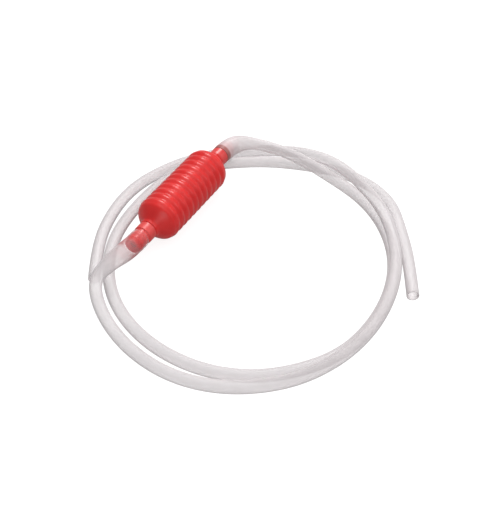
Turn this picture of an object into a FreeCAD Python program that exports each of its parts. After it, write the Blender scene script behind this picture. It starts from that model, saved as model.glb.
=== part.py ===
import FreeCAD, Part
import math
import os
import Sketcher
from FreeCAD import Vector, Rotation, Placement

# Squeeze-bulb siphon for pond and aquarium water.
# A ribbed soft bulb lies on its side between two one-way valves, and a clear
# vinyl hose is pushed over the spigot at each end.
# Frame: X along the bulb from the inlet to the outlet, Z up, origin on the
# floor under the middle of the bulb.

doc = FreeCAD.newDocument("siphon")

# ---------------------------------------------------------------- dimensions
dims = doc.addObject("Spreadsheet::Sheet", "dims")
VALUES = [
    # soft bulb
    ("axis_height", 19.3),       # the bulb rests on its ribs
    ("bulb_length", 107.0),      # mouth to mouth
    ("valley_radius", 18.2),     # between two ribs
    ("rib_radius", 19.3),        # on the crest of a rib
    ("rib_pitch", 7.36),
    ("rib_width", 6.3),
    ("rib_crest", 2.5),          # width of the flat on a crest
    ("rib_start", 13.05),        # first rib from the mouth
    ("rib_count", 11),
    ("cavity_radius", 16.0),
    ("mouth_outer", 8.4),
    ("mouth_bore", 6.1),
    # end fittings
    ("tail_length", 9.5),
    ("tail_radius", 6.0),
    ("collar_length", 9.0),
    ("collar_radius", 8.2),
    ("spigot_length", 14.5),
    ("spigot_radius", 7.35),
    ("barb_radius", 7.7),
    ("bore_radius", 4.0),
    ("chamber_radius", 5.6),
    ("chamber_length", 14.0),
    # one-way valves
    ("seat_radius", 5.55),
    ("seat_bore", 2.6),
    ("seat_length", 2.0),
    ("ball_radius", 3.5),
    ("ball_rest", 4.45),         # ball centre from the back of its seat
    ("cage_start", 2.05),
    ("cage_length", 9.95),
    ("cage_bore", 3.75),
    ("cage_cup", 8.4),           # depth of the cage's ball chamber
    ("cage_slot", 3.0),
    ("cage_hole", 1.05),
    # hoses
    ("hose_radius", 5.0),
    ("hose_bore", 4.0),
    ("flare_radius", 8.4),
    ("flare_bore", 7.75),
]
for row, (alias, value) in enumerate(VALUES, 1):
    dims.set("A%d" % row, alias)
    dims.set("B%d" % row, str(value))
    dims.setAlias("B%d" % row, alias)
doc.recompute()
D = {alias: float(getattr(dims, alias)) for alias, _ in VALUES}

FLARE_A_SPLIT = 6     # edges of the inlet hose's path that its flared end takes
FLARE_B_SPLIT = 5     # the same for the outlet hose

# Points of each hose's centreline, bulb end first. Straight runs between
# them are joined by tangent arcs.
INLET_ROUTE = [
    (-65.0, 0.0, 19.3), (-81.0, 0.0, 19.3), (-101.5, 4.8, 18.8),
    (-121.8, 7.0, 14.6), (-142.5, -15.5, 6.2), (-161.0, -53.0, 5.0),
    (-167.3, -95.5, 5.0), (-157.0, -135.5, 5.0), (-132.8, -171.0, 7.2),
    (-103.3, -192.8, 11.6), (-69.4, -203.4, 14.2), (-32.1, -204.0, 15.6),
    (5.3, -195.6, 16.0), (40.0, -178.7, 15.8), (69.4, -155.3, 15.5),
    (91.2, -126.2, 15.9), (106.4, -94.1, 17.0), (110.6, -62.4, 13.7),
    (108.9, -30.8, 6.0), (92.4, -2.1, 5.0), (67.3, 24.9, 5.0),
    (34.1, 43.8, 5.0), (-1.9, 53.0, 5.0), (-39.8, 48.9, 5.0),
    (-78.0, 35.4, 5.0), (-111.6, 14.1, 5.0),
]
OUTLET_ROUTE = [
    (62.5, 0.0, 19.3), (80.0, 0.0, 19.3), (93.0, -12.5, 18.8),
    (97.9, -32.5, 17.4), (97.5, -60.5, 16.6), (94.8, -92.0, 9.6),
    (88.6, -122.8, 5.2), (72.2, -149.1, 5.0), (48.2, -172.2, 5.0),
    (18.2, -189.6, 5.0), (-16.3, -198.7, 5.0), (-52.9, -199.7, 5.0),
    (-87.3, -192.2, 5.0), (-116.4, -172.3, 5.0), (-139.3, -145.1, 5.0),
    (-150.7, -111.8, 5.0), (-150.9, -75.7, 5.0), (-140.7, -40.4, 5.0),
    (-121.1, -9.3, 5.0), (-92.9, 14.8, 5.0), (-58.1, 30.8, 5.0),
    (-18.3, 36.2, 5.0), (20.1, 34.8, 5.0), (51.2, 23.2, 5.0),
    (72.6, -2.5, 5.0), (92.2, -32.2, 5.0), (104.4, -66.2, 5.0),
    (111.0, -98.6, 5.0), (106.4, -129.0, 5.0), (91.7, -154.9, 5.0),
    (65.1, -174.5, 5.0), (31.0, -196.6, 5.0), (-4.5, -214.5, 5.0),
]

parts = []


# ------------------------------------------------------------------ helpers
def plane(body, role):
    return [f for f in body.Origin.OriginFeatures if f.Role == role][0]


def new_body(name):
    body = doc.addObject("PartDesign::Body", name)
    body.Label = name
    parts.append(body)
    return body


def profile(body, name, points, role="XY_Plane"):
    """A closed polygon whose every corner is held by two driven distances."""
    sk = body.newObject("Sketcher::SketchObject", name)
    sk.AttachmentSupport = [(plane(body, role), "")]
    sk.MapMode = "FlatFace"
    n = len(points)
    nums = [(number(px), number(py)) for px, py in points]
    for i in range(n):
        a, b = nums[i], nums[(i + 1) % n]
        sk.addGeometry(Part.LineSegment(Vector(a[0], a[1], 0), Vector(b[0], b[1], 0)), False)
    for i in range(n):
        sk.addConstraint(Sketcher.Constraint("Coincident", i, 2, (i + 1) % n, 1))
    for i in range(n):
        for kind, expr, value in (("DistanceX", points[i][0], nums[i][0]),
                                  ("DistanceY", points[i][1], nums[i][1])):
            k = sk.addConstraint(Sketcher.Constraint(kind, -1, 1, i, 1, value))
            if isinstance(expr, str):
                sk.setExpression("Constraints[%d]" % k, as_expression(expr))
    return sk


def number(expr):
    return float(add_up(expr)) if isinstance(expr, str) else float(expr)


def add_up(expr):
    """Sums such as 'bulb_length - mouth_wall + 2.0' over the sheet's names."""
    total, sign = 0.0, 1.0
    for word in expr.split():
        if word == "+":
            sign = 1.0
        elif word == "-":
            sign = -1.0
        else:
            total += sign * (D[word] if word in D else float(word))
            sign = 1.0
    return total


def as_expression(expr):
    return " ".join("dims." + w if w in D else w for w in expr.split())


def revolve(body, name, sk, groove=False):
    kind = "PartDesign::Groove" if groove else "PartDesign::Revolution"
    feat = body.newObject(kind, name)
    feat.Profile = sk
    feat.ReferenceAxis = (sk, ["H_Axis"])
    feat.Angle = 360.0
    return feat


# ---------------------------------------------------------------- soft bulb
# Local X runs from the inlet mouth to the outlet mouth, on the bulb's axis.
bulb = new_body("squeeze_bulb")
sk = profile(bulb, "bulb_shell", [
    (0.0, "mouth_outer"), (2.6, "mouth_outer + 0.2"), (3.6, "mouth_outer + 0.9"),
    (5.0, "valley_radius - 7.3"), (7.0, "valley_radius - 4.6"), (9.0, "valley_radius - 2.3"),
    (10.8, "valley_radius - 0.9"), (12.6, "valley_radius"),
    ("bulb_length - 12.6", "valley_radius"), ("bulb_length - 10.8", "valley_radius - 0.9"),
    ("bulb_length - 9.0", "valley_radius - 2.3"), ("bulb_length - 7.0", "valley_radius - 4.6"),
    ("bulb_length - 5.0", "valley_radius - 7.3"), ("bulb_length - 3.6", "mouth_outer + 0.9"),
    ("bulb_length - 2.6", "mouth_outer + 0.2"), ("bulb_length", "mouth_outer"),
    ("bulb_length", "mouth_bore"), ("bulb_length - 3.8", "mouth_bore"),
    ("bulb_length - 6.2", "mouth_bore + 2.8"), ("bulb_length - 9.2", "mouth_bore + 6.6"),
    ("bulb_length - 12.0", "cavity_radius - 1.1"), ("bulb_length - 14.6", "cavity_radius"),
    (14.6, "cavity_radius"), (12.0, "cavity_radius - 1.1"), (9.2, "mouth_bore + 6.6"),
    (6.2, "mouth_bore + 2.8"), (3.8, "mouth_bore"), (0.0, "mouth_bore"),
])
revolve(bulb, "bulb_wall", sk)
sk = profile(bulb, "rib_section", [
    ("rib_start + 0.5", "valley_radius - 0.6"),
    ("rib_start + 0.5", "valley_radius + 0.15"),
    ("rib_start + 1.3", "valley_radius + 0.7"),
    ("rib_start + 2.4", "rib_radius"),
    ("rib_start + 2.4 + rib_crest", "rib_radius"),
    ("rib_start - 0.3 + rib_width", "valley_radius + 0.7"),
    ("rib_start + 0.5 + rib_width", "valley_radius + 0.15"),
    ("rib_start + 0.5 + rib_width", "valley_radius - 0.6"),
])
rib = revolve(bulb, "rib", sk)
ribs = bulb.newObject("PartDesign::LinearPattern", "ribs")
ribs.Originals = [rib]
ribs.Direction = (sk, ["H_Axis"])
if hasattr(ribs, "Mode"):
    ribs.Mode = "Spacing"
    ribs.setExpression("Offset", "dims.rib_pitch")
else:
    ribs.setExpression("Length", "dims.rib_pitch * (dims.rib_count - 1)")
ribs.setExpression("Occurrences", "dims.rib_count")
bulb.Tip = ribs
bulb.Placement = Placement(Vector(-D["bulb_length"] / 2, 0, D["axis_height"]), Rotation())


# -------------------------------------------------------------- end fittings
# Local X from the tail inside the bulb, past the collar, to the hose spigot.
def fitting(name, flip):
    body = new_body(name)
    t, c, s = "tail_length", "tail_length + collar_length", "tail_length + collar_length + spigot_length"
    sk = profile(body, name + "_section", [
        (0.0, "tail_radius - 0.5"), (0.8, "tail_radius"), (t, "tail_radius"),
        (t, "collar_radius - 0.5"), (t + " + 0.5", "collar_radius"),
        (c + " - 0.8", "collar_radius"), (c, "collar_radius - 0.8"),
        (c, "spigot_radius"), (s + " - 11.0", "spigot_radius"), (s + " - 9.8", "barb_radius"),
        (s + " - 9.2", "barb_radius"), (s + " - 6.6", "spigot_radius"),
        (s + " - 5.6", "spigot_radius"), (s + " - 4.6", "barb_radius"),
        (s + " - 4.0", "barb_radius"), (s, "spigot_radius - 0.75"),
        (s, "chamber_radius"), (s + " - chamber_length", "chamber_radius"),
        (s + " - chamber_length", "bore_radius"), (0.0, "bore_radius"),
    ])
    revolve(body, name + "_turned", sk)
    x = D["bulb_length"] / 2 - D["tail_length"]
    turn = Rotation(Vector(0, 0, 1), 180 if flip else 0)
    body.Placement = Placement(Vector(-x if flip else x, 0, D["axis_height"]), turn)
    return body


inlet_fitting = fitting("inlet_fitting", True)
outlet_fitting = fitting("outlet_fitting", False)

# ------------------------------------------------------------ one-way valves
# Water runs towards +X through both valves, so in each the seat comes first,
# then the ball, then the cage that stops the ball.
REACH = D["bulb_length"] / 2 + D["collar_length"] + D["spigot_length"]
SEAT_X = {"inlet": -REACH + 0.6, "outlet": REACH - D["chamber_length"] + 0.05}


def valve(side):
    x0 = SEAT_X[side]
    at = Placement(Vector(x0, 0, D["axis_height"]), Rotation())

    seat = new_body(side + "_valve_seat")
    sk = profile(seat, side + "_seat_section", [
        (0.0, "seat_bore + 0.8"), (0.6, "seat_bore"), ("seat_length - 0.35", "seat_bore"),
        ("seat_length", "seat_bore + 0.35"), ("seat_length", "seat_radius"),
        (0.0, "seat_radius"),
    ])
    revolve(seat, side + "_seat_ring", sk)
    seat.Placement = at

    ball = doc.addObject("Part::Sphere", side + "_valve_ball")
    ball.Label = side + "_valve_ball"
    ball.setExpression("Radius", "dims.ball_radius")
    ball.Placement = Placement(Vector(x0 + D["ball_rest"], 0, D["axis_height"]), Rotation())
    parts.append(ball)

    cage = new_body(side + "_valve_cage")
    sk = profile(cage, side + "_cage_section", [
        ("cage_start", "cage_bore"), ("cage_start", "seat_radius"),
        ("cage_start + cage_length", "seat_radius"), ("cage_start + cage_length", 0.6),
        ("cage_start + cage_cup", 0.6), ("cage_start + cage_cup", "cage_bore"),
    ])
    revolve(cage, side + "_cage_cup", sk)
    # two crossed slots leave four prongs around the ball
    for k, role in enumerate(("XY_Plane", "XZ_Plane")):
        slot = profile(cage, "%s_slot_%d" % (side, k), [
            ("cage_start - 1.0", "0.0 - seat_radius - 1.0"), ("cage_start + cage_cup", "0.0 - seat_radius - 1.0"),
            ("cage_start + cage_cup", "seat_radius + 1.0"), ("cage_start - 1.0", "seat_radius + 1.0"),
        ], role)
        cut = cage.newObject("PartDesign::Pocket", "%s_slot_cut_%d" % (side, k))
        cut.Profile = slot
        cut.Midplane = True
        cut.Type = 0
        cut.setExpression("Length", "dims.cage_slot")
    # eight small holes let water through the end plate
    hole_sk = cage.newObject("Sketcher::SketchObject", side + "_hole_sketch")
    hole_sk.AttachmentSupport = [(plane(cage, "YZ_Plane"), "")]
    hole_sk.MapMode = "FlatFace"
    hole_sk.addGeometry(Part.Circle(Vector(0, 3.0, 0), Vector(0, 0, 1), D["cage_hole"]), False)
    hole_sk.addConstraint(Sketcher.Constraint("PointOnObject", 0, 3, -2))
    k = hole_sk.addConstraint(Sketcher.Constraint("DistanceY", -1, 1, 0, 3, 3.0))
    k = hole_sk.addConstraint(Sketcher.Constraint("Radius", 0, D["cage_hole"]))
    hole_sk.setExpression("Constraints[%d]" % k, "dims.cage_hole")
    hole = cage.newObject("PartDesign::Pocket", side + "_hole")
    hole.Profile = hole_sk
    hole.Midplane = True
    hole.Type = 0
    hole.Length = 60.0
    ring = cage.newObject("PartDesign::PolarPattern", side + "_holes")
    ring.Originals = [hole]
    ring.Axis = (hole_sk, ["N_Axis"])
    ring.Angle = 360.0
    ring.Occurrences = 8
    cage.Tip = ring
    cage.Placement = at
    return seat, ball, cage


inlet_valve = valve("inlet")
outlet_valve = valve("outlet")


# -------------------------------------------------------------------- hoses
def route_edges(points, name):
    """Straight runs joined by tangent arcs, each as large as its runs allow."""
    pts = [Vector(*p) for p in points]
    edges, start, radii = [], pts[0], []
    for a, b, c in zip(pts, pts[1:], pts[2:]):
        u, v = (b - a), (c - b)
        lu, lv = u.Length, v.Length
        u, v = u / lu, v / lv
        turn = u.getAngle(v)
        tangent = 0.45 * min(lu, lv)
        radius = tangent / math.tan(turn / 2)
        p, q = b - u * tangent, b + v * tangent
        inward = (v - u).normalize()
        mid = b + inward * (radius / math.cos(turn / 2) - radius)
        edges.append(Part.LineSegment(start, p).toShape())
        edges.append(Part.Arc(p, mid, q).toShape())
        radii.append(round(radius, 1))
        start = q
    edges.append(Part.LineSegment(start, pts[-1]).toShape())
    length = sum(e.Length for e in edges)
    print(name, "centreline %.1f mm, arc radii" % length, radii)
    return edges


def tube(name, edges, outer, inner):
    wire = Part.Wire(edges)
    e = edges[0]
    centre, direction = e.valueAt(e.FirstParameter), e.tangentAt(e.FirstParameter)
    rods = []
    for r in (outer, inner):
        circle = Part.Wire([Part.Circle(centre, direction, r).toShape()])
        rods.append(wire.makePipeShell([circle], True, False))
    shape = rods[0].cut(rods[1])
    if shape.ShapeType != "Solid":
        shape = shape.Solids[0]
    feat = doc.addObject("Part::Feature", name)
    feat.Label = name
    feat.Shape = shape
    feat.Placement = Placement()
    parts.append(feat)
    expect = math.pi * (outer ** 2 - inner ** 2) * wire.Length
    print(name, "length %.1f, volume %.1f, section x length %.1f" % (wire.Length, shape.Volume, expect))
    if abs(shape.Volume - expect) > 0.01 * expect:
        raise RuntimeError(name + ": swept volume is off")
    return feat


def stretched(s, total, grip, wide, plain):
    """Radius of a hose end: wide on the spigot, easing to the plain hose."""
    if s <= grip:
        return wide
    w = (s - grip) / (total - grip)
    return wide + (plain - wide) * (0.5 - 0.5 * math.cos(math.pi * w))


def flare(name, edges, grip):
    """The hose end stretched over the spigot, easing down to the plain hose."""
    total = sum(e.Length for e in edges)
    stations = [0.0, grip]
    step = (total - grip) / 9
    stations += [grip + step * k for k in range(1, 10)]
    outer, inner = [], []
    for s in stations:
        left, e = s, edges[-1]
        for edge in edges:
            if left <= edge.Length + 1e-9:
                e = edge
                break
            left -= edge.Length
        par = e.getParameterByLength(min(left, e.Length))
        p, d = e.valueAt(par), e.tangentAt(par)
        for rings, wide, plain in ((outer, D["flare_radius"], D["hose_radius"]),
                                   (inner, D["flare_bore"], D["hose_bore"])):
            r = stretched(s, total, grip, wide, plain)
            rings.append(Part.Wire([Part.Circle(p, d, r).toShape()]))
    solid = Part.makeLoft(outer, True, True).cut(Part.makeLoft(inner, True, True))
    if solid.ShapeType != "Solid":
        solid = solid.Solids[0]
    feat = doc.addObject("Part::Feature", name)
    feat.Label = name
    feat.Shape = solid
    feat.Placement = Placement()
    parts.append(feat)
    print(name, "length %.1f, volume %.1f" % (total, solid.Volume))
    return feat


inlet_edges = route_edges(INLET_ROUTE, "inlet hose")
outlet_edges = route_edges(OUTLET_ROUTE, "outlet hose")
flare("inlet_hose_flare", inlet_edges[:FLARE_A_SPLIT], 14.0)
flare("outlet_hose_flare", outlet_edges[:FLARE_B_SPLIT], 15.0)
tube("inlet_hose", inlet_edges[FLARE_A_SPLIT:], D["hose_radius"], D["hose_bore"])
tube("outlet_hose", outlet_edges[FLARE_B_SPLIT:], D["hose_radius"], D["hose_bore"])

# ------------------------------------------------------------ check and save
doc.recompute()
for obj in doc.Objects:
    if "Invalid" in obj.State or "Error" in obj.State:
        raise RuntimeError("%s failed: %s" % (obj.Name, obj.State))
for part in parts:
    if part.Shape.isNull() or not part.Shape.isValid() or not part.Shape.Solids:
        raise RuntimeError(part.Label + ": no valid solid")
    box = part.Shape.BoundBox
    print("%-20s solids %d volume %9.1f  x %7.1f %7.1f  y %7.1f %7.1f  z %6.2f %6.2f" % (
        part.Label, len(part.Shape.Solids), part.Shape.Volume,
        box.XMin, box.XMax, box.YMin, box.YMax, box.ZMin, box.ZMax))
os.makedirs("parts", exist_ok=True)
for part in parts:
    part.Shape.exportStep("parts/%s.step" % part.Label)
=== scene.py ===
import math
import bpy
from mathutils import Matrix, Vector


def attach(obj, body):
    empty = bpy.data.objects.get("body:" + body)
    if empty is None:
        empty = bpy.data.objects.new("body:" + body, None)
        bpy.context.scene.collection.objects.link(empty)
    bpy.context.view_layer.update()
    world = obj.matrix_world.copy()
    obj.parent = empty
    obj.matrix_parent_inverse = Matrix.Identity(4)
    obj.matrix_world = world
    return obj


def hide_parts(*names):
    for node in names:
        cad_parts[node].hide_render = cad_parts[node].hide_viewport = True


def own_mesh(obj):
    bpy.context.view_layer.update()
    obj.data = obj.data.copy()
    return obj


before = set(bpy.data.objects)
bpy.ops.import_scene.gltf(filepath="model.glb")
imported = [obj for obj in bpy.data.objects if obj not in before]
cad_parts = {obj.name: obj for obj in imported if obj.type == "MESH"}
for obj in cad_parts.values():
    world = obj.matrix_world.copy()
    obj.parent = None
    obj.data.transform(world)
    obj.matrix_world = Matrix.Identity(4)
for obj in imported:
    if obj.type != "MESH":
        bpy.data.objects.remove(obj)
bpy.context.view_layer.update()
scene = bpy.context.scene
scene.view_settings.view_transform = "Standard"
scene.view_settings.look = "None"

# ------------------------------------------------------------------- camera
cam_data = bpy.data.cameras.new("camera")
cam_data.lens = 67.32
cam_data.sensor_width = 36.0
cam = bpy.data.objects.new("camera", cam_data)
cam.location = (-0.5399, -0.3679, 0.5470)
look_at = Vector((-0.0290, -0.0796, 0.0))
cam.rotation_euler = (look_at - cam.location).to_track_quat("-Z", "Y").to_euler()
scene.collection.objects.link(cam)
scene.camera = cam

AXIS_Z = 0.0193          # the bulb's axis above the floor

# ------------------------------------------------------------ hose routes
# Control points of each hose's centreline in metres, bulb end first.
INLET_ROUTE = [
    (-0.0650, 0.0000, 0.0193), (-0.0810, 0.0000, 0.0193), (-0.1015, 0.0048, 0.0188),
    (-0.1218, 0.0070, 0.0146), (-0.1425, -0.0155, 0.0062), (-0.1610, -0.0530, 0.0050),
    (-0.1673, -0.0955, 0.0050), (-0.1570, -0.1355, 0.0050), (-0.1328, -0.1710, 0.0072),
    (-0.1033, -0.1928, 0.0116), (-0.0694, -0.2034, 0.0142), (-0.0321, -0.2040, 0.0156),
    (0.0053, -0.1956, 0.0160), (0.0400, -0.1787, 0.0158), (0.0694, -0.1553, 0.0155),
    (0.0912, -0.1262, 0.0159), (0.1064, -0.0941, 0.0170), (0.1106, -0.0624, 0.0137),
    (0.1089, -0.0308, 0.0060), (0.0924, -0.0021, 0.0050), (0.0673, 0.0249, 0.0050),
    (0.0341, 0.0438, 0.0050), (-0.0019, 0.0530, 0.0050), (-0.0398, 0.0489, 0.0050),
    (-0.0780, 0.0354, 0.0050), (-0.1116, 0.0141, 0.0050),
]
OUTLET_ROUTE = [
    (0.0625, 0.0000, 0.0193), (0.0800, 0.0000, 0.0193), (0.0930, -0.0125, 0.0188),
    (0.0979, -0.0325, 0.0174), (0.0975, -0.0605, 0.0166), (0.0948, -0.0920, 0.0096),
    (0.0886, -0.1228, 0.0052), (0.0722, -0.1491, 0.0050), (0.0482, -0.1722, 0.0050),
    (0.0182, -0.1896, 0.0050), (-0.0163, -0.1987, 0.0050), (-0.0529, -0.1997, 0.0050),
    (-0.0873, -0.1922, 0.0050), (-0.1164, -0.1723, 0.0050), (-0.1393, -0.1451, 0.0050),
    (-0.1507, -0.1118, 0.0050), (-0.1509, -0.0757, 0.0050), (-0.1407, -0.0404, 0.0050),
    (-0.1211, -0.0093, 0.0050), (-0.0929, 0.0148, 0.0050), (-0.0581, 0.0308, 0.0050),
    (-0.0183, 0.0362, 0.0050), (0.0201, 0.0348, 0.0050), (0.0512, 0.0232, 0.0050),
    (0.0726, -0.0025, 0.0050), (0.0922, -0.0322, 0.0050), (0.1044, -0.0662, 0.0050),
    (0.1110, -0.0986, 0.0050), (0.1064, -0.1290, 0.0050), (0.0917, -0.1549, 0.0050),
    (0.0651, -0.1745, 0.0050), (0.0310, -0.1966, 0.0050), (-0.0045, -0.2145, 0.0050),
]


def hose_line(name, points):
    """The smooth line of a hose, read from the NURBS spline over its route."""
    data = bpy.data.curves.new(name, "CURVE")
    data.dimensions = "3D"
    data.resolution_u = 24
    spline = data.splines.new("NURBS")
    spline.points.add(len(points) - 1)
    for p, co in zip(spline.points, points):
        p.co = (*co, 1.0)
    spline.order_u = 3
    spline.use_endpoint_u = True
    holder = bpy.data.objects.new(name, data)
    scene.collection.objects.link(holder)
    bpy.context.view_layer.update()
    mesh = bpy.data.meshes.new_from_object(holder)
    line = [v.co.copy() for v in mesh.vertices]
    bpy.data.objects.remove(holder)
    bpy.data.meshes.remove(mesh)
    keep = [line[0]]
    for p in line[1:]:
        if (p - keep[-1]).length > 1e-6:
            keep.append(p)
    return keep


# ------------------------------------------------------------- node helpers
def material(name):
    mat = bpy.data.materials.new(name)
    mat.use_nodes = True
    tree = mat.node_tree
    return mat, tree, tree.nodes["Principled BSDF"]


def node(tree, kind, **sets):
    made = tree.nodes.new(kind)
    for key, value in sets.items():
        setattr(made, key, value)
    return made


def noise(tree, scale, detail=3.0, rough=0.5, stretch=None, coords="Object"):
    """A noise texture in the part's own metres."""
    where = node(tree, "ShaderNodeTexCoord")
    tex = node(tree, "ShaderNodeTexNoise")
    tex.inputs["Scale"].default_value = scale
    tex.inputs["Detail"].default_value = detail
    tex.inputs["Roughness"].default_value = rough
    if stretch:
        m = node(tree, "ShaderNodeMapping")
        m.inputs["Scale"].default_value = stretch
        tree.links.new(where.outputs[coords], m.inputs["Vector"])
        tree.links.new(m.outputs["Vector"], tex.inputs["Vector"])
    else:
        tree.links.new(where.outputs[coords], tex.inputs["Vector"])
    return tex


def ramp(tree, source, stops):
    r = node(tree, "ShaderNodeValToRGB")
    while len(r.color_ramp.elements) < len(stops):
        r.color_ramp.elements.new(0.5)
    for e, (pos, col) in zip(r.color_ramp.elements, stops):
        e.position = pos
        e.color = (*col, 1.0) if len(col) == 3 else col
    tree.links.new(source, r.inputs["Fac"])
    return r


def to_range(tree, source, low, high):
    m = node(tree, "ShaderNodeMapRange")
    m.inputs["From Min"].default_value = 0.3
    m.inputs["From Max"].default_value = 0.7
    m.inputs["To Min"].default_value = low
    m.inputs["To Max"].default_value = high
    tree.links.new(source, m.inputs["Value"])
    return m.outputs["Result"]


def bump(tree, shader, source, strength, distance):
    b = node(tree, "ShaderNodeBump")
    b.inputs["Strength"].default_value = strength
    b.inputs["Distance"].default_value = distance
    tree.links.new(source, b.inputs["Height"])
    tree.links.new(b.outputs["Normal"], shader.inputs["Normal"])


# ---------------------------------------------------------------- materials
def clear_vinyl(name, low, high, plain, hugging):
    """Soft clear hose: milky and see-through, with fine draw lines and a
    little haze. plain and hugging give how dense it looks face on and along
    the wall, away from the spigot and where it hugs it with no air behind."""
    mat, tree, bsdf = material(name)
    haze = noise(tree, 60.0, 4.0)
    colour = ramp(tree, haze.outputs["Fac"], [(0.3, low), (0.7, high)])
    # veil: milkier up to 0.5, and from there to 1 also darkened by a painted shade, the collar's shade
    # painted onto the hose's rim
    veil_and_painted_shade = node(tree, "ShaderNodeAttribute", attribute_name="veil_and_painted_shade")
    dark = node(tree, "ShaderNodeMath", operation="MULTIPLY_ADD")
    dark.inputs[1].default_value = 2.0
    dark.inputs[2].default_value = -1.0
    dark.use_clamp = True
    tree.links.new(veil_and_painted_shade.outputs["Fac"], dark.inputs[0])
    # the painted shade colour, mixed in where veil is above 0.5
    tint = node(tree, "ShaderNodeMix", data_type="RGBA")
    tint.inputs[7].default_value = (0.30, 0.085, 0.075, 1.0)
    # blush: a painted red glow, the red light from the fitting painted into the hose's colour near it
    painted_red_glow = node(tree, "ShaderNodeAttribute", attribute_name="painted_red_glow")
    warm = node(tree, "ShaderNodeMix", data_type="RGBA")
    warm.inputs[7].default_value = (0.50, 0.130, 0.135, 1.0)
    tree.links.new(painted_red_glow.outputs["Fac"], warm.inputs[0])
    tree.links.new(colour.outputs["Color"], warm.inputs[6])
    tree.links.new(dark.outputs[0], tint.inputs[0])
    tree.links.new(warm.outputs[2], tint.inputs[6])
    tree.links.new(tint.outputs[2], bsdf.inputs["Base Color"])
    tree.links.new(to_range(tree, haze.outputs["Fac"], 0.36, 0.50), bsdf.inputs["Roughness"])
    bsdf.inputs["IOR"].default_value = 1.40
    bsdf.inputs["Specular IOR Level"].default_value = 0.30
    fine = noise(tree, 420.0, 3.0)
    bump(tree, bsdf, fine.outputs["Fac"], 0.12, 0.0002)
    facing = node(tree, "ShaderNodeLayerWeight")
    facing.inputs["Blend"].default_value = 0.5
    dense = ramp(tree, facing.outputs["Facing"], [(at, (d, d, d)) for at, d in plain])
    close = ramp(tree, facing.outputs["Facing"], [(at, (d, d, d)) for at, d in hugging])
    hug = node(tree, "ShaderNodeAttribute", attribute_name="hug")
    both = node(tree, "ShaderNodeMix", data_type="FLOAT")
    tree.links.new(hug.outputs["Fac"], both.inputs[0])
    tree.links.new(dense.outputs["Color"], both.inputs[2])
    tree.links.new(close.outputs["Color"], both.inputs[3])
    denser = node(tree, "ShaderNodeMath", operation="MULTIPLY_ADD")
    denser.inputs[1].default_value = 0.80
    denser.use_clamp = True
    tree.links.new(veil_and_painted_shade.outputs["Fac"], denser.inputs[0])
    tree.links.new(both.outputs[0], denser.inputs[2])
    clear = node(tree, "ShaderNodeBsdfTransparent")
    mix = node(tree, "ShaderNodeMixShader")
    tree.links.new(denser.outputs[0], mix.inputs["Fac"])
    tree.links.new(clear.outputs["BSDF"], mix.inputs[1])
    tree.links.new(bsdf.outputs["BSDF"], mix.inputs[2])
    # lamps shine through the hose
    lamps = node(tree, "ShaderNodeLightPath")
    through = node(tree, "ShaderNodeBsdfTransparent")
    lit = node(tree, "ShaderNodeMixShader")
    tree.links.new(lamps.outputs["Is Shadow Ray"], lit.inputs["Fac"])
    tree.links.new(mix.outputs["Shader"], lit.inputs[1])
    tree.links.new(through.outputs["BSDF"], lit.inputs[2])
    tree.links.new(lit.outputs["Shader"], tree.nodes["Material Output"].inputs["Surface"])
    return mat


def red_vinyl():
    """Soft red moulding: glossy, a little see-through, with slight flow marks."""
    mat, tree, bsdf = material("red_vinyl")
    flow = noise(tree, 45.0, 4.0, 0.55)
    colour = ramp(tree, flow.outputs["Fac"], [(0.30, (0.68, 0.014, 0.014)), (0.70, (0.80, 0.026, 0.024))])
    tree.links.new(colour.outputs["Color"], bsdf.inputs["Base Color"])
    tree.links.new(to_range(tree, flow.outputs["Fac"], 0.28, 0.38), bsdf.inputs["Roughness"])
    bsdf.inputs["IOR"].default_value = 1.42
    bsdf.inputs["Transmission Weight"].default_value = 0.15
    bsdf.inputs["Subsurface Weight"].default_value = 0.20
    bsdf.inputs["Subsurface Radius"].default_value = (0.004, 0.0006, 0.0005)
    bsdf.inputs["Subsurface Scale"].default_value = 1.0
    fine = noise(tree, 900.0, 2.0)
    bump(tree, bsdf, fine.outputs["Fac"], 0.10, 0.0001)
    return mat


def red_plastic(name, low, high, clear):
    """Harder red moulding of the fittings and cages, see-through at its walls."""
    mat, tree, bsdf = material(name)
    flow = noise(tree, 90.0, 3.0, 0.5)
    colour = ramp(tree, flow.outputs["Fac"], [(0.30, low), (0.70, high)])
    tree.links.new(colour.outputs["Color"], bsdf.inputs["Base Color"])
    tree.links.new(to_range(tree, flow.outputs["Fac"], 0.32, 0.44), bsdf.inputs["Roughness"])
    bsdf.inputs["IOR"].default_value = 1.49
    bsdf.inputs["Transmission Weight"].default_value = clear
    fine = noise(tree, 1200.0, 2.0)
    bump(tree, bsdf, fine.outputs["Fac"], 0.08, 0.0001)
    return mat


def dark_rubber(name, low, high, rough_low, rough_high):
    mat, tree, bsdf = material(name)
    grain = noise(tree, 700.0, 4.0, 0.6)
    colour = ramp(tree, grain.outputs["Fac"], [(0.30, low), (0.70, high)])
    tree.links.new(colour.outputs["Color"], bsdf.inputs["Base Color"])
    tree.links.new(to_range(tree, grain.outputs["Fac"], rough_low, rough_high), bsdf.inputs["Roughness"])
    bump(tree, bsdf, grain.outputs["Fac"], 0.25, 0.0001)
    return mat


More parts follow.
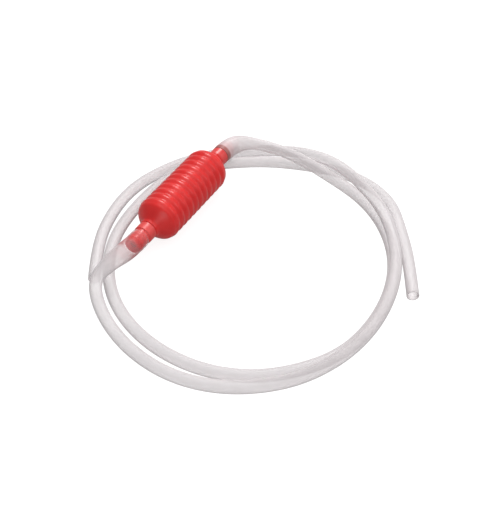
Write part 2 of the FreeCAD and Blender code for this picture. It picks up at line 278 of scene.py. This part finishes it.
VINYL = clear_vinyl("clear_vinyl", (0.610, 0.573, 0.581), (0.658, 0.620, 0.628),
                    [(0.0, 0.42), (0.30, 0.44), (0.45, 0.60), (0.62, 0.90)],
                    [(0.0, 0.07), (0.30, 0.08), (0.45, 0.18), (0.62, 0.50)])
VINYL_BORE = clear_vinyl("clear_vinyl_bore", (0.610, 0.573, 0.581), (0.658, 0.620, 0.628),
                         [(0.0, 0.18), (0.50, 0.19), (0.80, 0.24), (0.95, 0.28)],
                         [(0.0, 0.02), (0.50, 0.02), (0.80, 0.04), (0.95, 0.06)])
RED = red_vinyl()
FITTING = red_plastic("fitting_plastic", (0.74, 0.040, 0.040), (0.84, 0.070, 0.065), 0.22)
CAGE = red_plastic("cage_plastic", (0.55, 0.06, 0.06), (0.66, 0.09, 0.09), 0.25)
SEAT = dark_rubber("seat_rubber", (0.52, 0.035, 0.032), (0.62, 0.050, 0.045), 0.55, 0.7)
BALL = dark_rubber("ball_plastic", (0.26, 0.050, 0.040), (0.34, 0.075, 0.060), 0.28, 0.40)


# -------------------------------------------------------------------- hoses
def smooth_step(t):
    t = min(1.0, max(0.0, t))
    return 0.5 - 0.5 * math.cos(math.pi * t)


def make_mesh(name, verts, faces, mat, smooth=True):
    mesh = bpy.data.meshes.new(name)
    mesh.from_pydata(verts, [], faces)
    mesh.materials.append(mat)
    mesh.validate()
    if smooth:
        mesh.polygons.foreach_set("use_smooth", [True] * len(mesh.polygons))
    mesh.update()
    obj = bpy.data.objects.new(name, mesh)
    scene.collection.objects.link(obj)
    return obj


def hose(name, line, grip, eased, barbs, tight, veil_and_shade_along, red_glow_along, sides=48):
    """A hollow hose along line. Its first end is stretched over a spigot for
    the length grip, and eases to the plain hose at the length eased. For the
    length tight it hugs the spigot, with no air behind it, and looks clearer.
    veiled and blushed list (length, amount) along it, see clear_vinyl."""
    # the walk along the line, with the hose's own twist kept at rest
    tangents = []
    for i in range(len(line)):
        a, b = line[max(0, i - 1)], line[min(len(line) - 1, i + 1)]
        tangents.append((b - a).normalized())
    s = [0.0]
    for a, b in zip(line, line[1:]):
        s.append(s[-1] + (b - a).length)
    up = Vector((0, 0, 1))
    u = (up - tangents[0] * up.dot(tangents[0])).normalized()
    frames = []
    for t in tangents:
        u = (u - t * u.dot(t)).normalized()
        frames.append((u, t.cross(u).normalized()))

    def outer(d):
        w = smooth_step((d - grip) / (eased - grip))
        r = 0.00825 + (0.0050 - 0.00825) * w
        for b in barbs:
            r += 0.00018 * math.exp(-((d - b) / 0.0010) ** 2)
        return r

    def inner(d):
        w = smooth_step((d - grip) / (eased - grip))
        return 0.00775 + (0.0040 - 0.00775) * w

    # stations: (index on the line, outward shift, radius), outside then inside
    stations = []
    n = len(line)
    edge = 0.00022
    for i in range(n):
        r = outer(s[i])
        if i == 0:
            stations.append((i, edge * 0.3, inner(0.0) + 0.0001))
            stations.append((i, 0.0, r - edge))
            stations.append((i, edge * 0.3, r - edge * 0.3))
            stations.append((i, edge, r))
        elif i == n - 1:
            stations.append((i, -edge, r))
            stations.append((i, -edge * 0.3, r - edge * 0.3))
            stations.append((i, 0.0, r - edge))
            stations.append((i, 0.0, inner(s[i]) + edge))
            stations.append((i, -edge * 0.3, inner(s[i]) + edge * 0.3))
            stations.append((i, -edge, inner(s[i])))
        else:
            stations.append((i, 0.0, r))
    for i in range(n - 2, 0, -1):
        stations.append((i, 0.0, inner(s[i])))
    stations.append((0, edge, inner(0.0)))

    verts, faces = [], []
    for i, shift, r in stations:
        c = line[i] + tangents[i] * shift
        a, b = frames[i]
        for k in range(sides):
            ang = 2 * math.pi * k / sides
            verts.append(c + a * (r * math.cos(ang)) + b * (r * math.sin(ang)))
    m = len(stations)
    for j in range(m):
        q = (j + 1) % m
        for k in range(sides):
            l = (k + 1) % sides
            faces.append((j * sides + k, q * sides + k, q * sides + l, j * sides + l))
    obj = make_mesh(name, verts, faces, VINYL)
    obj.data.materials.append(VINYL_BORE)
    inside_from = m - (n - 2) - 1
    for j in range(inside_from, m - 1):
        for k in range(sides):
            obj.data.polygons[j * sides + k].material_index = 1
    hug = obj.data.attributes.new("hug", "FLOAT", "POINT")
    values = []
    for i, shift, r in stations:
        values += [1.0 - smooth_step((s[i] - tight + 0.0015) / 0.005)] * sides
    hug.data.foreach_set("value", values)
    for title, listed in (("veil_and_painted_shade", veil_and_shade_along), ("painted_red_glow", red_glow_along)):
        made = obj.data.attributes.new(title, "FLOAT", "POINT")
        values = []
        for i, shift, r in stations:
            here = 0.0
            for (a, va), (b, vb) in zip(listed, listed[1:]):
                if a <= s[i] <= b:
                    here = va + (vb - va) * smooth_step((s[i] - a) / (b - a))
            values += [here] * sides
        made.data.foreach_set("value", values)
    return obj, s[-1]


inlet_line = hose_line("inlet_line", INLET_ROUTE)
outlet_line = hose_line("outlet_line", OUTLET_ROUTE)
# the last list of each hose places the painted red glow near its fitting
inlet_hose, inlet_length = hose("inlet_hose_clear", inlet_line, 0.0140, 0.0640, (0.0068, 0.0020), 0.0112,
                                 [(0.0, 0.0), (0.02, 0.0)],
                                 [(0.0, 0.3), (0.010, 0.85), (0.0185, 0.80), (0.025, 0.14), (0.045, 0.0)])
# outlet: a painted shade ring on the first 3.6 mm of the hose at the collar, then milkier; a little milkier
# again near the free end
outlet_hose, outlet_length = hose("outlet_hose_clear", outlet_line, 0.0150, 0.0450, (0.0043, 0.0095), -0.0100,
                                   [(0.0, 0.95), (0.0036, 0.95), (0.0056, 0.5), (0.015, 0.45), (0.024, 0.0),
                                    (1.036, 0.0), (1.056, 0.14), (1.080, 0.14)],
                                   [(0.0, 0.3), (0.006, 0.34), (0.014, 0.12), (0.035, 0.03), (0.060, 0.0)])
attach(inlet_hose, "ends_and_hoses")
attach(outlet_hose, "ends_and_hoses")
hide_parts("inlet_hose", "inlet_hose_flare")
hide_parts("outlet_hose", "outlet_hose_flare")
print("hose lengths", round(inlet_length, 4), round(outlet_length, 4))

# --------------------------------------------------------------------- bulb
HALF = 0.0535            # bulb's half length, mouth to middle
PITCH = 0.00736
RIBS = 11
CREST, VALLEY = 0.01930, 0.01830


def bulb_outside():
    """Half of the outline from the mouth to the ribs, then the ribs, as (x, r)."""
    end = [
        (-0.05350, 0.00800), (-0.05335, 0.00832), (-0.05290, 0.00845), (-0.05180, 0.00850),
        (-0.05080, 0.00865), (-0.05010, 0.00905), (-0.04950, 0.00965), (-0.04880, 0.01050),
        (-0.04790, 0.01165), (-0.04680, 0.01295), (-0.04560, 0.01430), (-0.04440, 0.01560),
        (-0.04330, 0.01665), (-0.04230, 0.01750), (-0.04140, 0.01805),
    ]
    start = -(RIBS * PITCH) / 2
    ribs = []
    steps = 14
    for k in range(RIBS):
        for j in range(steps):
            t = j / steps
            wave = 0.5 - 0.5 * math.cos(2 * math.pi * t)
            r = VALLEY + (CREST - VALLEY) * wave ** 0.75
            ribs.append((start + (k + t) * PITCH, r))
    ribs.append((-start, VALLEY))
    mirrored = [(-x, r) for x, r in reversed(end)]
    return end + ribs + mirrored


def bulb_inside():
    end = [(-0.05330, 0.00610), (-0.05000, 0.00612), (-0.04900, 0.00650), (-0.04800, 0.00790),
           (-0.04690, 0.00960), (-0.04570, 0.01130), (-0.04440, 0.01290), (-0.04310, 0.01420),
           (-0.04170, 0.01520), (-0.04010, 0.01580)]
    middle = [(-0.0380 + 0.0038 * k, 0.0160) for k in range(21)]
    return end + middle + [(-x, r) for x, r in reversed(end)]


def turned(name, profile, mat, sides=128):
    """A closed ring of outline turned about the bulb's axis."""
    verts, faces = [], []
    for x, r in profile:
        for k in range(sides):
            a = 2 * math.pi * k / sides
            verts.append((x, r * math.cos(a), AXIS_Z + r * math.sin(a)))
    m = len(profile)
    for j in range(m):
        q = (j + 1) % m
        for k in range(sides):
            l = (k + 1) % sides
            faces.append((j * sides + k, j * sides + l, q * sides + l, q * sides + k))
    return make_mesh(name, verts, faces, mat)


outline = bulb_outside() + list(reversed(bulb_inside()))
bulb = turned("ribbed_bulb", outline, RED)
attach(bulb, "ends_and_hoses")
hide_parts("squeeze_bulb")
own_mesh(bulb)

# ------------------------------------------------- carried-over CAD nodes
for name, mat in (
    ("inlet_fitting", FITTING), ("outlet_fitting", FITTING),
    ("inlet_valve_cage", CAGE), ("outlet_valve_cage", CAGE),
    ("inlet_valve_seat", SEAT), ("outlet_valve_seat", SEAT),
    ("inlet_valve_ball", BALL), ("outlet_valve_ball", BALL),
):
    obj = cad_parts[name]
    if not obj.material_slots:
        obj.data.materials.append(mat)
    for s in obj.material_slots:
        s.material = mat

# ------------------------------------------------------- floor and lighting
floor_mat, tree, bsdf = material("floor_white")
bsdf.inputs["Base Color"].default_value = (0.26, 0.26, 0.26, 1.0)
bsdf.inputs["Roughness"].default_value = 0.9
bsdf.inputs["Specular IOR Level"].default_value = 0.0
bsdf.inputs["Emission Color"].default_value = (1.0, 1.0, 1.0, 1.0)
sight = node(tree, "ShaderNodeLightPath")
glow = node(tree, "ShaderNodeMapRange")
glow.inputs["To Min"].default_value = 0.22     # what reaches the part from below
glow.inputs["To Max"].default_value = 0.86     # the floor itself, nearly without shadows
tree.links.new(sight.outputs["Is Camera Ray"], glow.inputs["Value"])
tree.links.new(glow.outputs["Result"], bsdf.inputs["Emission Strength"])
floor = make_mesh("floor", [(-4, -4, -0.0002), (4, -4, -0.0002), (4, 4, -0.0002), (-4, 4, -0.0002)],
                  [(0, 1, 2, 3)], floor_mat, smooth=False)

world = bpy.data.worlds.new("studio")
scene.world = world
world.use_nodes = True
wt = world.node_tree
seen = wt.nodes.new("ShaderNodeLightPath")
levels = wt.nodes.new("ShaderNodeMapRange")
levels.inputs["To Min"].default_value = 0.46     # what lights the part
levels.inputs["To Max"].default_value = 1.0      # the backdrop itself
wt.links.new(seen.outputs["Is Camera Ray"], levels.inputs["Value"])
wt.nodes["Background"].inputs["Color"].default_value = (1.0, 1.0, 1.0, 1.0)
wt.links.new(levels.outputs["Result"], wt.nodes["Background"].inputs["Strength"])


def area(name, at, size, power, aim=(0.0, -0.06, 0.0), colour=(1, 1, 1)):
    data = bpy.data.lights.new(name, "AREA")
    data.shape = "RECTANGLE"
    data.size, data.size_y = size
    data.energy = power
    data.color = colour
    lamp = bpy.data.objects.new(name, data)
    lamp.location = at
    lamp.rotation_euler = (Vector(aim) - Vector(at)).to_track_quat("-Z", "Y").to_euler()
    scene.collection.objects.link(lamp)
    return lamp


# key from beyond the outlet end, a soft one at the right, a broad top and a weak front
area("key", (0.82, 0.245, 0.96), (0.35, 0.35), 10.0)
area("right", (0.55, -0.85, 0.75), (0.80, 0.80), 3.2)
area("top", (0.15, -0.10, 1.5), (1.2, 1.2), 5.0)
area("front", (-0.80, -0.45, 0.50), (0.60, 0.60), 2.2)
